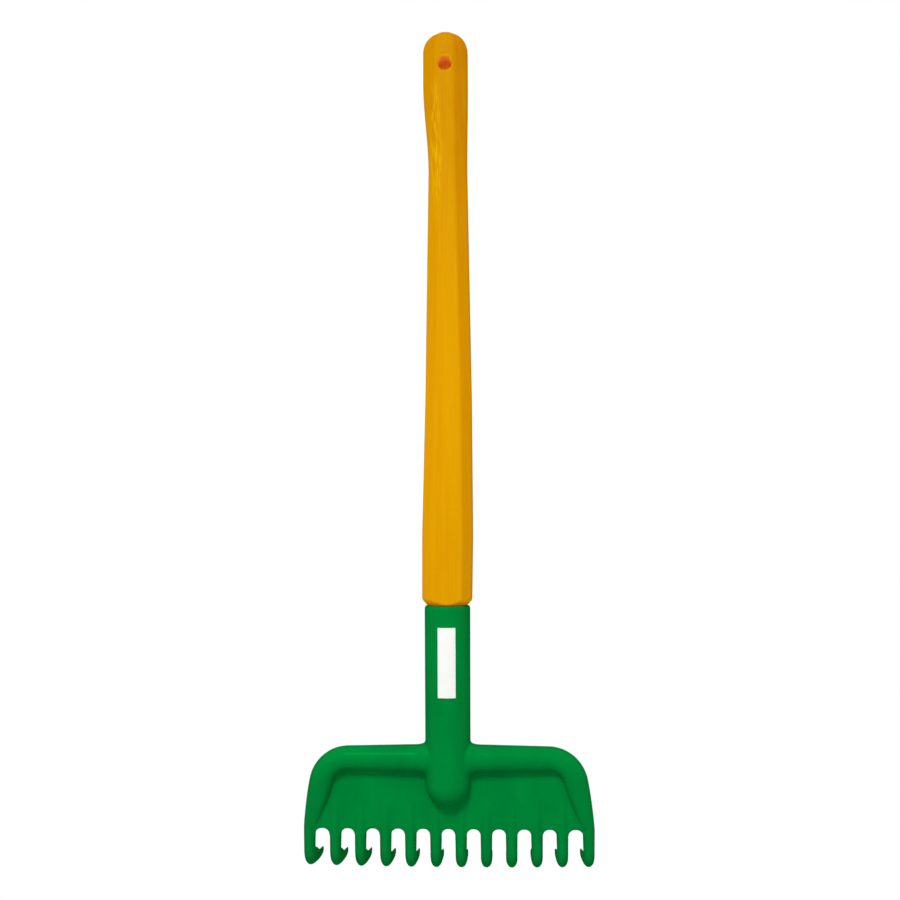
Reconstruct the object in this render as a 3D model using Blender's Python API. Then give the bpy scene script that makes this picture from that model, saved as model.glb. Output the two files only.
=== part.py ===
"""Kids' rake: a lacquered wooden handle with a hang hole, in a one-piece moulded head with hooked tines.

Metres, +Z up along the handle, the front faces -Y and the hooks point to +Y. Heights are measured from the
underside of the tines' bends, and one empty then brings the middle of the hang hole to the world's origin.
"""

import math

import bmesh
import bpy
from mathutils import Matrix, Vector

# Gap between neighbouring pieces
CLEARANCE = 0.0003

# Tines
TINE_COUNT = 12
TINE_PITCH = 0.0138
TINE_WIDTH = 0.0066
TINE_FRONT_DEPTH = 0.0043
TINE_BACK_DEPTH = 0.0016
TINE_LENGTH = 0.0224
TINE_BOW = 0.0008
TINE_OUTER_SHIFT = 0.0005
HOOK_REACH = 0.0375
HOOK_BEND_RADIUS = 0.0063
HOOK_DROP = math.radians(14)
HOOK_CURL = math.radians(13)
HOOK_NOSE = 0.010
HOOK_NOSE_BLUNTNESS = 0.5
RIB_LENGTH = 0.0185
RIB_TOP_WIDTH = 0.0036
RIB_TOP_DEPTH = 0.0026

# Cross bar, side arms and web
BAR_HEIGHT = 0.0606
BAR_DIAMETER = 0.0148
BAR_FLARE = 0.0011
BAR_FLARE_LENGTH = 0.0055
CORNER_DIAMETER = 0.0132
CORNER_RADIUS = 0.0150
ARM_LEAN = math.radians(14.5)
ARM_TAPER = 1.4
WEB_THICKNESS = 0.003
WEB_SETBACK = 0.002
WEB_TUCK = 0.0008
ARCH_RISE = 0.006

# Socket
SOCKET_WALL = 0.002
SOCKET_DRAFT = 0.0003
SOCKET_FOOT_HEIGHT = 0.0354
SOCKET_RIM_HEIGHT = 0.1432
SOCKET_RIM_ROUND = 0.0014
BORE_EASE = 0.0006

# Handle, with heights measured up from the socket's rim
TENON_DIAMETER = 0.0206
TENON_LENGTH = 0.065
TENON_CHAMFER = 0.0012
SHOULDER_DIAMETER = 0.0218
SHOULDER_GAP = 0.0008
SHOULDER_SLOPE = math.radians(52)
FOOT_WIDTH = 0.0272
FOOT_BEVEL = 0.0056
SHAFT_WIDTH = 0.0278
SHAFT_RISE = 0.040
NECK_WIDTH = 0.022
NECK_BEVEL = 0.0069
NECK_SHIFT = 0.0012
NECK_RISE = 0.245
MIDDLE_RISE = 0.115
GRIP_WIDTH = 0.0255
GRIP_BEVEL = 0.0078
GRIP_RISE = 0.2965
HANDLE_RISE = 0.3274
HANDLE_EDGE_EASE = 0.0015
HANDLE_DEPTH_RATIO = 0.86
HANG_HOLE_DIAMETER = 0.008
HANG_HOLE_DROP = 0.0219
HANG_HOLE_EASE = 0.0006

# Screw through the back of the socket
SCREW_DROP = 0.030
SCREW_SHANK_DIAMETER = 0.0035
SCREW_LENGTH = 0.014
SCREW_POINT = 0.003
SCREW_HEAD_DIAMETER = 0.0068
SCREW_HEAD_HEIGHT = 0.0024
SCREW_SEAT_DEPTH = 0.0009
SCREW_CROSS_LENGTH = 0.004
SCREW_CROSS_WIDTH = 0.001
SCREW_CROSS_DEPTH = 0.0012
PAN_FLATNESS = 0.6

# Blank label on the front of the socket
LABEL_WIDTH = 0.0096
LABEL_LENGTH = 0.0375
LABEL_DROP = 0.0110
LABEL_THICKNESS = 0.0002

# Fineness of the faceted surfaces
TURNED_STEPS = 32
SECTION_SIDES = 14
BEND_STEPS = 5
RIB_STEPS = 3
FLARE_STEPS = 3
ARM_STEPS = 4
GRIP_STEPS = 6
PAN_STEPS = 4
RIM_STEPS = 3
LABEL_STEPS = 8
HOOK_NOSE_ANGLES = (0, math.radians(35), math.radians(62), math.radians(80))
DOME_ANGLE = math.radians(84)
DOME_STEPS = 5
ARCH_STEPS = 6
TINE_FRONT_SQUARENESS = 2.1
TINE_BACK_SQUARENESS = 4.0
ROUND = 2.0
SHARP_ANGLE = math.radians(35)
MERGE_DISTANCE = 0.000001

# Worked out from the sizes above
TINE_SPAN = (TINE_COUNT - 1) * TINE_PITCH + 2 * TINE_OUTER_SHIFT
TINE_SEAT = (TINE_FRONT_DEPTH - TINE_BACK_DEPTH) / 2
BORE_RADIUS = TENON_DIAMETER / 2 + CLEARANCE
SOCKET_RIM_RADIUS = BORE_RADIUS + SOCKET_WALL
SOCKET_FOOT_RADIUS = SOCKET_RIM_RADIUS - SOCKET_DRAFT
BORE_FLOOR = SOCKET_RIM_HEIGHT - TENON_LENGTH - CLEARANCE
HANDLE_TOP = SOCKET_RIM_HEIGHT + HANDLE_RISE
HANG_HOLE_HEIGHT = HANDLE_TOP - HANG_HOLE_DROP
SCREW_HEIGHT = SOCKET_RIM_HEIGHT - SCREW_DROP
ACROSS = Vector((1, 0, 0))
BACK = Vector((0, 1, 0))
UP = Vector((0, 0, 1))


def linear(hex_colour):
    """An sRGB hex colour as linear RGBA."""
    channels = [int(hex_colour[i : i + 2], 16) / 255 for i in (0, 2, 4)]
    return [c / 12.92 if c <= 0.04045 else ((c + 0.055) / 1.055) ** 2.4 for c in channels] + [1]


def material(name, hex_colour, roughness, metallic=0):
    made = bpy.data.materials.new(name)
    made.use_nodes = True
    shader = made.node_tree.nodes["Principled BSDF"]
    shader.inputs["Base Color"].default_value = linear(hex_colour)
    shader.inputs["Roughness"].default_value = roughness
    shader.inputs["Metallic"].default_value = metallic
    return made


def finish(bm, name, parent, look=None):
    """The bmesh as a closed, outward-facing object under the parent; without a look it is a hidden tool."""
    bmesh.ops.recalc_face_normals(bm, faces=bm.faces)
    mesh = bpy.data.meshes.new(name)
    bm.to_mesh(mesh)
    bm.free()
    piece = bpy.data.objects.new(name, mesh)
    bpy.context.collection.objects.link(piece)
    piece.parent = parent
    if look:
        mesh.materials.append(look)
        mesh.shade_smooth()
        mesh.set_sharp_from_angle(angle=SHARP_ANGLE)
    else:
        piece.hide_render = True
        piece.display_type = "WIRE"
    return piece


def combine(piece, tool, operation):
    modifier = piece.modifiers.new(f"{operation.lower()} {tool.name}", "BOOLEAN")
    modifier.operation = operation
    modifier.object = tool


def loft(bm, rings):
    """A closed skin over rings of points, with flat ends."""
    loops = []
    for ring in rings:
        verts = [bm.verts.new(point) for point in ring]
        loops.append([bm.edges.new(pair) for pair in zip(verts, verts[1:] + verts[:1])])
    for low, high in zip(loops, loops[1:]):
        bmesh.ops.bridge_loops(bm, edges=low + high)
    for end in (loops[0], loops[-1]):
        bmesh.ops.contextual_create(bm, geom=end)


def turn(bm, profile, axis=UP, centre=Vector()):
    """A body turned about an axis from (radius, height) points that start and end on it."""
    out = Matrix.Rotation(math.pi / TURNED_STEPS, 3, axis) @ ACROSS
    verts = [bm.verts.new(centre + out * radius + axis * height) for radius, height in profile]
    edges = [bm.edges.new(pair) for pair in zip(verts, verts[1:])]
    bmesh.ops.spin(
        bm, geom=verts + edges, cent=centre, axis=axis, angle=math.tau, steps=TURNED_STEPS, use_merge=True
    )
    bmesh.ops.remove_doubles(bm, verts=bm.verts, dist=MERGE_DISTANCE)


def extrude_outline(bm, points, step):
    """A flat outline made solid along the step vector."""
    face = bm.faces.new([bm.verts.new(point) for point in points])
    made = bmesh.ops.extrude_face_region(bm, geom=[face])
    moved = [v for v in made["geom"] if isinstance(v, bmesh.types.BMVert)]
    bmesh.ops.translate(bm, verts=moved, vec=step)


def oval_ring(centre, side, normal, width, depth, squareness):
    """Points round a section that is an ellipse at squareness 2 and squarer above it."""
    ring = []
    for i in range(SECTION_SIDES):
        angle = math.tau * i / SECTION_SIDES
        c = math.copysign(abs(math.cos(angle)) ** (2 / squareness), math.cos(angle))
        s = math.copysign(abs(math.sin(angle)) ** (2 / squareness), math.sin(angle))
        ring.append(centre + side * (c * width / 2) + normal * (s * depth / 2))
    return ring


def blend(start, end, share):
    """Smooth change from start to end as share goes from 0 to 1."""
    t = min(max(share, 0), 1)
    return start + (end - start) * t * t * (3 - 2 * t)


def socket_radius(height):
    """Outer radius of the socket, which narrows slightly towards its foot."""
    foot = SOCKET_FOOT_HEIGHT + SOCKET_FOOT_RADIUS
    share = (height - foot) / (SOCKET_RIM_HEIGHT - foot)
    return SOCKET_FOOT_RADIUS + SOCKET_DRAFT * share


def tine_places():
    """Where the tines stand across the head, left to right: evenly, but the outermost a little apart."""
    places = [TINE_PITCH * (i - (TINE_COUNT - 1) / 2) for i in range(TINE_COUNT)]
    places[0] -= TINE_OUTER_SHIFT
    places[-1] += TINE_OUTER_SHIFT
    return places


def tine_ring(x, y, z, turned, width, front, back):
    """A section of a tine that has turned by an angle from pointing down towards pointing back.

    It is rounded in front of its widest line by the front depth, and flat behind it by the back depth.
    """
    normal = BACK * math.cos(turned) + UP * math.sin(turned)
    centre = Vector((x, WEB_SETBACK + y, z))
    flat = oval_ring(centre, ACROSS, normal, width, 2 * back, TINE_BACK_SQUARENESS)
    rounded = oval_ring(centre, ACROSS, normal, width, 2 * front, TINE_FRONT_SQUARENESS)
    half = SECTION_SIDES // 2 + 1
    return flat[:half] + rounded[half:]


def rib_rings(x):
    """Sections of the rib that fades out up the web above a tine."""
    rings = []
    for i in range(RIB_STEPS):
        share = i / RIB_STEPS
        height = TINE_LENGTH + RIB_LENGTH * (1 - share)
        width = blend(RIB_TOP_WIDTH, TINE_WIDTH, share)
        front = blend(RIB_TOP_DEPTH / 2, TINE_FRONT_DEPTH, share)
        back = blend(RIB_TOP_DEPTH / 2, TINE_BACK_DEPTH, share)
        rings.append(tine_ring(x, (front - back) / 2, height, 0, width, front, back))
    return rings


def tine_rings(x):
    """Sections down one tine: the straight part, the bend, and the hook that curls up along its length.

    The hook's nose tapers up to its top edge. The row of tines bows down to its middle.
    """
    rings = [tine_ring(x, TINE_SEAT, TINE_LENGTH, 0, TINE_WIDTH, TINE_FRONT_DEPTH, TINE_BACK_DEPTH)]
    lift = TINE_BOW * (2 * x / TINE_SPAN) ** 2
    bend_z = lift + TINE_FRONT_DEPTH + HOOK_BEND_RADIUS
    bend = math.pi / 2 - HOOK_DROP
    for i in range(BEND_STEPS + 1):
        turned = bend * i / BEND_STEPS
        y = TINE_SEAT + HOOK_BEND_RADIUS * (1 - math.cos(turned))
        z = bend_z - HOOK_BEND_RADIUS * math.sin(turned)
        rings.append(tine_ring(x, y, z, turned, TINE_WIDTH, TINE_FRONT_DEPTH, TINE_BACK_DEPTH))
    run = (TINE_SEAT + HOOK_REACH - y) / math.cos(HOOK_DROP - HOOK_CURL / 2)
    straight = run - HOOK_NOSE
    stations = [(straight / 2, 0)]
    stations += [(straight + HOOK_NOSE * math.sin(nose), nose) for nose in HOOK_NOSE_ANGLES]
    for along, nose in stations:
        width = TINE_WIDTH * math.cos(nose) ** HOOK_NOSE_BLUNTNESS
        front = TINE_FRONT_DEPTH * math.cos(nose)
        back = TINE_BACK_DEPTH * math.cos(nose)
        raised = TINE_BACK_DEPTH - back
        curled = HOOK_CURL * along / run
        chord = HOOK_DROP - curled / 2
        drop = HOOK_DROP - curled
        end_y = y + along * math.cos(chord) + raised * math.sin(drop)
        end_z = z - along * math.sin(chord) + raised * math.cos(drop)
        rings.append(tine_ring(x, end_y, end_z, bend + curled, width, front, back))
    return rings


def arm_line():
    """Points (across, height, angle turned) on the middle line of the corner and the arm below it."""
    turn_total = math.pi / 2 - ARM_LEAN
    corner_x = TINE_SPAN / 2 - (BAR_HEIGHT - TINE_LENGTH) * math.tan(ARM_LEAN)
    centre_x = corner_x - CORNER_RADIUS * math.tan(turn_total / 2)
    centre_z = BAR_HEIGHT - CORNER_RADIUS
    corner = []
    for i in range(BEND_STEPS + 1):
        turned = turn_total * i / BEND_STEPS
        x = centre_x + CORNER_RADIUS * math.sin(turned)
        corner.append((x, centre_z + CORNER_RADIUS * math.cos(turned), turned))
    x, z, turned = corner[-1]
    arm = []
    for i in range(1, ARM_STEPS):
        share = i / ARM_STEPS
        arm.append((x + (TINE_SPAN / 2 - x) * share, z + (TINE_LENGTH - z) * share, turned))
    return corner, arm


def arm_rings():
    """Sections from the middle of the bar, round its corner and down the arm to the outermost tine."""
    rings = []

    def add(x, z, turned, diameter, setback=0):
        side = ACROSS * math.sin(turned) + UP * math.cos(turned)
        rings.append(oval_ring(Vector((x, setback, z)), side, BACK, diameter, diameter, ROUND))

    socket = socket_radius(BAR_HEIGHT)
    add(0, BAR_HEIGHT, 0, BAR_DIAMETER + 2 * BAR_FLARE)
    for i in range(FLARE_STEPS + 1):
        share = i / FLARE_STEPS
        add(socket + BAR_FLARE_LENGTH * share, BAR_HEIGHT, 0, BAR_DIAMETER + 2 * BAR_FLARE * (1 - share) ** 2)
    corner, arm = arm_line()
    for x, z, turned in corner:
        add(x, z, turned, CORNER_DIAMETER)
    for i, (x, z, turned) in enumerate(arm, 1):
        share = i / ARM_STEPS
        diameter = CORNER_DIAMETER + (TINE_WIDTH - CORNER_DIAMETER) * share**ARM_TAPER
        add(x, z, turned, diameter, WEB_SETBACK * share)
    return rings


def web_outline(y):
    """Outline of the web: it ends inside the bar, the arms and the tines, and arches over each gap."""
    arch_foot = TINE_LENGTH - ARCH_RISE
    corner, arm = arm_line()
    side = [Vector((x, y, z)) for x, z, turned in corner + arm]
    side.append(Vector((TINE_SPAN / 2, y, TINE_LENGTH)))
    side.append(Vector((TINE_SPAN / 2, y, arch_foot)))
    points = list(side)
    places = tine_places()
    for left, right in reversed(list(zip(places, places[1:]))):
        middle = (left + right) / 2
        arch = (right - left - TINE_WIDTH) / 2 + WEB_TUCK
        for i in range(ARCH_STEPS + 1):
            angle = math.pi * i / ARCH_STEPS
            height = arch_foot + ARCH_RISE * math.sin(angle)
            points.append(Vector((middle + arch * math.cos(angle), y, height)))
    points += [Vector((-point.x, y, point.z)) for point in reversed(side)]
    return points


def screw_hole(parent):
    """Clearance for the screw's head, shank and point, from outside the socket into the tenon."""
    seat = SOCKET_RIM_RADIUS - SCREW_SEAT_DEPTH
    shank = SCREW_SHANK_DIAMETER / 2 + CLEARANCE
    head = SCREW_HEAD_DIAMETER / 2 + CLEARANCE
    tip = seat - SCREW_LENGTH - 2 * CLEARANCE
    outside = SOCKET_RIM_RADIUS + SCREW_HEAD_HEIGHT
    bm = bmesh.new()
    profile = [(0, tip), (shank, tip), (shank, seat), (head, seat), (head, outside), (0, outside)]
    turn(bm, profile, BACK, Vector((0, 0, SCREW_HEIGHT)))
    return finish(bm, "screw_hole", parent)


def rake_head(parent, hole):
    """The moulding: a turned socket joined to the bar and arms, the web and the tines."""
    bm = bmesh.new()
    profile = []
    for i in range(DOME_STEPS + 1):
        angle = math.pi / 2 * i / DOME_STEPS
        radius = SOCKET_FOOT_RADIUS * math.sin(angle)
        profile.append((radius, SOCKET_FOOT_HEIGHT + SOCKET_FOOT_RADIUS * (1 - math.cos(angle))))
    for i in range(RIM_STEPS + 1):
        angle = math.pi / 2 * i / RIM_STEPS
        radius = SOCKET_RIM_RADIUS - SOCKET_RIM_ROUND * (1 - math.cos(angle))
        profile.append((radius, SOCKET_RIM_HEIGHT - SOCKET_RIM_ROUND * (1 - math.sin(angle))))
    profile.append((BORE_RADIUS, SOCKET_RIM_HEIGHT - BORE_EASE))
    profile.append((BORE_RADIUS, BORE_FLOOR))
    profile.append((0, BORE_FLOOR))
    turn(bm, profile)
    green = material("green_polypropylene", "007D36", 0.38)
    head = finish(bm, "rake_head", parent, green)

    bm = bmesh.new()
    right = arm_rings() + tine_rings(TINE_SPAN / 2)
    left = [[Vector((-p.x, p.y, p.z)) for p in ring] for ring in right[:0:-1]]
    loft(bm, left + right)
    combine(head, finish(bm, "bar_arms_and_outer_tines", parent), "UNION")

    bm = bmesh.new()
    front = WEB_SETBACK - WEB_THICKNESS / 2
    extrude_outline(bm, web_outline(front), BACK * WEB_THICKNESS)
    combine(head, finish(bm, "web", parent), "UNION")

    bm = bmesh.new()
    for x in tine_places()[1:-1]:
        loft(bm, rib_rings(x) + tine_rings(x))
    combine(head, finish(bm, "inner_tines", parent), "UNION")
    combine(head, hole, "DIFFERENCE")
    return head


def handle_section(height):
    """Width, corner bevel and sideways shift of the handle at a height."""
    rise = height - SOCKET_RIM_HEIGHT
    if rise < SHAFT_RISE:
        share = max(rise, 0) / SHAFT_RISE
        width = FOOT_WIDTH + (SHAFT_WIDTH - FOOT_WIDTH) * share
        return width, FOOT_BEVEL, NECK_SHIFT * max(rise, 0) / MIDDLE_RISE
    if rise < NECK_RISE:
        share = (rise - SHAFT_RISE) / (NECK_RISE - SHAFT_RISE)
        width = SHAFT_WIDTH + (NECK_WIDTH - SHAFT_WIDTH) * share
        bevel = FOOT_BEVEL + (NECK_BEVEL - FOOT_BEVEL) * share
        return width, bevel, NECK_SHIFT * min(rise / MIDDLE_RISE, 1)
    share = (rise - NECK_RISE) / (GRIP_RISE - NECK_RISE)
    width = blend(NECK_WIDTH, GRIP_WIDTH, share)
    return width, blend(NECK_BEVEL, GRIP_BEVEL, share), blend(NECK_SHIFT, 0, share)


def handle_ring(height, scale=1.0):
    """A section with bevelled corners, less deep than wide, each edge eased by a short curve."""
    width, bevel, shift = handle_section(height)
    half = width / 2
    flat = half - bevel
    corners = [
        Vector((x, y)) for x, y in ((half, -flat), (half, flat), (flat, half), (-flat, half))
    ]
    corners += [-corner for corner in corners]
    ring = []
    for i, corner in enumerate(corners):
        before = corner + (corners[i - 1] - corner).normalized() * HANDLE_EDGE_EASE
        after = corner + (corners[(i + 1) % len(corners)] - corner).normalized() * HANDLE_EDGE_EASE
        for point in (before, (before + after) / 4 + corner / 2, after):
            depth = point.y * scale * HANDLE_DEPTH_RATIO
            ring.append(Vector((shift + point.x * scale, depth, height)))
    return ring


def wooden_handle(parent, hole):
    """A shaped blank cut to a round tenon and sloped shoulder at its foot, with a hang hole in its grip."""
    bm = bmesh.new()
    tenon_end = SOCKET_RIM_HEIGHT - TENON_LENGTH
    neck = SOCKET_RIM_HEIGHT + NECK_RISE
    grip = SOCKET_RIM_HEIGHT + GRIP_RISE
    dome = HANDLE_TOP - GRIP_WIDTH / 2
    rings = [handle_ring(tenon_end)]
    rings += [handle_ring(SOCKET_RIM_HEIGHT + rise) for rise in (0, SHAFT_RISE, MIDDLE_RISE)]
    rings += [handle_ring(neck + (grip - neck) * i / GRIP_STEPS) for i in range(GRIP_STEPS + 1)]
    for i in range(DOME_STEPS + 1):
        angle = DOME_ANGLE * i / DOME_STEPS
        height = dome + (HANDLE_TOP - dome) * math.sin(angle) / math.sin(DOME_ANGLE)
        rings.append(handle_ring(height, math.cos(angle)))
    loft(bm, rings)
    yellow = material("lacquered_beech", "DFA002", 0.35)
    handle = finish(bm, "wooden_handle", parent, yellow)

    tenon = TENON_DIAMETER / 2
    shoulder = SOCKET_RIM_HEIGHT + SHOULDER_GAP
    wide = SHAFT_WIDTH + GRIP_WIDTH
    slope_top = shoulder + (wide - SHOULDER_DIAMETER / 2) * math.tan(SHOULDER_SLOPE)
    above = HANDLE_TOP + GRIP_WIDTH
    profile = [
        (0, tenon_end),
        (tenon - TENON_CHAMFER, tenon_end),
        (tenon, tenon_end + TENON_CHAMFER),
        (tenon, shoulder),
        (SHOULDER_DIAMETER / 2, shoulder),
        (wide, slope_top),
        (wide, above),
        (0, above),
    ]
    bm = bmesh.new()
    turn(bm, profile)
    combine(handle, finish(bm, "lathe_limit", parent), "INTERSECT")

    bm = bmesh.new()
    bore = HANG_HOLE_DIAMETER / 2
    face = GRIP_WIDTH / 2 * HANDLE_DEPTH_RATIO
    beyond = face + HANG_HOLE_EASE
    profile = [
        (0, -beyond),
        (bore + 2 * HANG_HOLE_EASE, -beyond),
        (bore, -face + HANG_HOLE_EASE),
        (bore, face - HANG_HOLE_EASE),
        (bore + 2 * HANG_HOLE_EASE, beyond),
        (0, beyond),
    ]
    turn(bm, profile, BACK, Vector((0, 0, HANG_HOLE_HEIGHT)))
    combine(handle, finish(bm, "hang_hole", parent), "DIFFERENCE")
    combine(handle, hole, "DIFFERENCE")
    return handle


def fixing_screw(parent):
    """A pan-head wood screw with a cross recess, pointing forwards into the tenon."""
    seat = SOCKET_RIM_RADIUS - SCREW_SEAT_DEPTH + CLEARANCE
    shank = SCREW_SHANK_DIAMETER / 2
    head = SCREW_HEAD_DIAMETER / 2
    tip = seat - SCREW_LENGTH
    profile = [(0, tip), (shank, tip + SCREW_POINT), (shank, seat)]
    for i in range(PAN_STEPS):
        angle = math.pi / 2 * i / PAN_STEPS
        profile.append((head * math.cos(angle) ** PAN_FLATNESS, seat + SCREW_HEAD_HEIGHT * math.sin(angle)))
    profile.append((0, seat + SCREW_HEAD_HEIGHT))
    bm = bmesh.new()
    centre = Vector((0, 0, SCREW_HEIGHT))
    turn(bm, profile, BACK, centre)
    screw = finish(bm, "fixing_screw", parent, material("zinc_plated_steel", "B9BBBD", 0.3, 1))

    long = SCREW_CROSS_LENGTH / 2
    slim = SCREW_CROSS_WIDTH / 2
    quarter = [(long, -slim), (long, slim), (slim, slim)]
    cross = []
    for i in range(4):
        turned = Matrix.Rotation(-math.pi / 2 * i, 3, "Y")
        cross += [centre + turned @ Vector((x, 0, z)) for x, z in quarter]
    floor = seat + SCREW_HEAD_HEIGHT - SCREW_CROSS_DEPTH
    bm = bmesh.new()
    extrude_outline(bm, [point + BACK * floor for point in cross], BACK * SCREW_HEAD_HEIGHT)
    combine(screw, finish(bm, "cross_recess", parent), "DIFFERENCE")
    return screw


def label(parent):
    """A thin blank label that follows the round of the socket's front."""
    top = SOCKET_RIM_HEIGHT - LABEL_DROP
    rings = []
    for height in (top - LABEL_LENGTH, top):
        inner = socket_radius(height) + CLEARANCE
        half_angle = LABEL_WIDTH / inner / 2
        angles = [half_angle * (2 * i / LABEL_STEPS - 1) for i in range(LABEL_STEPS + 1)]
        ring = [(inner, a) for a in angles] + [(inner + LABEL_THICKNESS, a) for a in reversed(angles)]
        rings.append([Vector((r * math.sin(a), -r * math.cos(a), height)) for r, a in ring])
    bm = bmesh.new()
    loft(bm, rings)
    return finish(bm, "label", parent, material("white_vinyl", "FDFDFC", 0.45))


def main():
    for old in list(bpy.data.objects):
        bpy.data.objects.remove(old)
    rake = bpy.data.objects.new("rake", None)
    rake.location = -UP * HANG_HOLE_HEIGHT
    bpy.context.collection.objects.link(rake)
    hole = screw_hole(rake)
    rake_head(rake, hole)
    wooden_handle(rake, hole)
    fixing_screw(rake)
    label(rake)


main()
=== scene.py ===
"""The looks of a kids' rake: a stained wooden handle in a one-piece moulded head, with a blank label.

Heights in the head are counted from the underside of its tines.
"""

import math

import bmesh
import bpy
from mathutils import Matrix, Vector


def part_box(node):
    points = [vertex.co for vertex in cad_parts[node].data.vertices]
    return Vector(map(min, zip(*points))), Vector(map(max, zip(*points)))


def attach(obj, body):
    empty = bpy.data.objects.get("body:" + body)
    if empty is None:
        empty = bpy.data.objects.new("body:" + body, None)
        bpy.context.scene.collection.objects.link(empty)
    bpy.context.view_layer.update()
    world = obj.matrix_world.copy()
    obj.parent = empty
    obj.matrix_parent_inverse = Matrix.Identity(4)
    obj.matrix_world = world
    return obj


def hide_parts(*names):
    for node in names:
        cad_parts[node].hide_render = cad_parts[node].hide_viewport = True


bl_info = {
    "name": "Kids' Rake",
    "version": (1, 0, 0),
    "blender": (4, 5, 0),
    "location": "View3D > Sidebar > Rake",
    "description": "Builds the finished surfaces of a kids' rake around its frame",
    "category": "Object",
}

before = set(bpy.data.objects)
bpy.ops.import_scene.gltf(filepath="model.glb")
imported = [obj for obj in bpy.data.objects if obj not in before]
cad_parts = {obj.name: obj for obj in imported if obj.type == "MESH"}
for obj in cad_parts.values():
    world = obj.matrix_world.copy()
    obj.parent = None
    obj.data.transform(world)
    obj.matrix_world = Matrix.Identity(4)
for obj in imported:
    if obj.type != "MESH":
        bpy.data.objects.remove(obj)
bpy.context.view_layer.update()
HEAD_LOW, HEAD_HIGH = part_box("rake_head")
HANDLE_LOW, HANDLE_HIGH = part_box("wooden_handle")
SCREW_LOW, SCREW_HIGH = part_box("fixing_screw")
LABEL_LOW, LABEL_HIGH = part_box("label")

ACROSS = Vector((1, 0, 0))
BACK = Vector((0, 1, 0))
UP = Vector((0, 0, 1))

# Fineness of the meshes
SOCKET_STEPS = 96
TINE_POINTS = 28
HANDLE_POINTS = 128
BORE_STEPS = 64
SCREW_STEPS = 64
BEND_STEPS = 14
RIB_STEPS = 12
HOOK_STEPS = 8
NOSE_STEPS = 10
RIM_STEPS = 10
ARM_STEPS = 12
FLARE_STEPS = 8
DOME_STEPS = 14
SLOPE_STEPS = 24
SHAFT_STEPS = 120
LABEL_COLUMNS = 24
LABEL_ROWS = 48
MERGE_DISTANCE = 1e-6

# How square a section is: 2 makes an ellipse, and more a squarer outline
ROUND = 2.0
TINE_FRONT_SQUARENESS = 1.95
ARCH_SQUARENESS = 2.4
ARM_SQUARENESS = 2.5
RIB_SQUARENESS = 3.2
TINE_BACK_SQUARENESS = 4.0
HOOK_TOP_SQUARENESS = 6.0

# How the arms thin towards their tines: the powers of the taper and of its ease in depth, and how soon the
# section turns square
ARM_TAPER = 1.4
ARM_EASE = 1.6
ARM_SQUARING = 3

# How the hooks form: how soon in the bend their trough is full, how much of the depth it may take, how their
# noses narrow and how far the points fall
TROUGH_ONSET = 1.5
TROUGH_SHARE = 0.7
NOSE_BLUNTNESS = 0.8
NOSE_FALL = 0.65

# How sharp the handle's ridges are on the shaft and at the grip, and the edges that turning left
SHAFT_SHARPNESS = 60
GRIP_SHARPNESS = 22
LIMIT_SHARPNESS = 120

# How far out the turned slope runs, as a share of the shaft's width, and the turn at which the grip's dome
# ends in a small flat
SLOPE_REACH = 0.55
DOME_TURN = math.radians(87)

# How far from the wall of the hang hole the middle of a face may lie and still belong to the bore
BORE_MARGIN = 0.00006

# The power that rounds the screw's pan head
PAN_ROUNDING = 0.6

# How far each pass that rounds the head's inside corners moves the skin
BLEND_FACTOR = 0.5

# Angles from which edges stay crisp, on wood and on small parts
WOOD_CREASE = math.radians(55)
SMALL_CREASE = math.radians(35)

# Where the painted sheen on the ridge left of the grip's front lies, and how far that reaches each way
SHEEN_MIDDLE = (-0.0055, -0.010, -0.050)
SHEEN_SIZE = (0.0045, 0.012, 0.050)

# Heights where the grip's painted shade begins and is full, and the share of the height of the darker band
# at the shoulder's foot above which it fades
GRIP_SHADE_START = -0.085
GRIP_SHADE_FULL = -0.030
BAND_FADE = 0.7

# Strength of the gloss, and how far a surface turns away before the gloss starts to fade and is gone
PLASTIC_GLOSS = 0.07
LACQUER_GLOSS = 0.012
GLOSS_FULL = 0.18
GLOSS_GONE = 0.42

# Light of the white studio: its shares from level and from steeply above or below, and the tilts between
# which it changes
WHITE = (1, 1, 1, 1)
LEVEL_LIGHT = 1.15
STEEP_LIGHT = 0.85
LEVEL_TILT = 0.15
STEEP_TILT = 0.9

# Distances between which the floor fades to white
FLOOR_PALE = 0.3
FLOOR_WHITE = 0.85


def linear(hex_colour):
    """An sRGB hex colour as linear RGBA."""
    channels = [int(hex_colour[i : i + 2], 16) / 255 for i in (0, 2, 4)]
    return [c / 12.92 if c <= 0.04045 else ((c + 0.055) / 1.055) ** 2.4 for c in channels] + [1]


def length(name, description, default):
    """A size in metres that the panel shows."""
    return bpy.props.FloatProperty(
        name=name, description=description, default=default, unit="LENGTH", precision=5
    )


def angle(name, description, degrees):
    """An angle that the panel shows in degrees."""
    return bpy.props.FloatProperty(
        name=name, description=description, default=math.radians(degrees), subtype="ANGLE"
    )


def tint(name, description, hex_colour):
    """A colour that the panel shows."""
    return bpy.props.FloatVectorProperty(
        name=name, description=description, default=linear(hex_colour), size=4, subtype="COLOR", min=0, max=1
    )


def location(name, description, default):
    """A point in the frame that the panel shows."""
    return bpy.props.FloatVectorProperty(
        name=name, description=description, default=default, subtype="XYZ", unit="LENGTH", precision=5
    )


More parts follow.
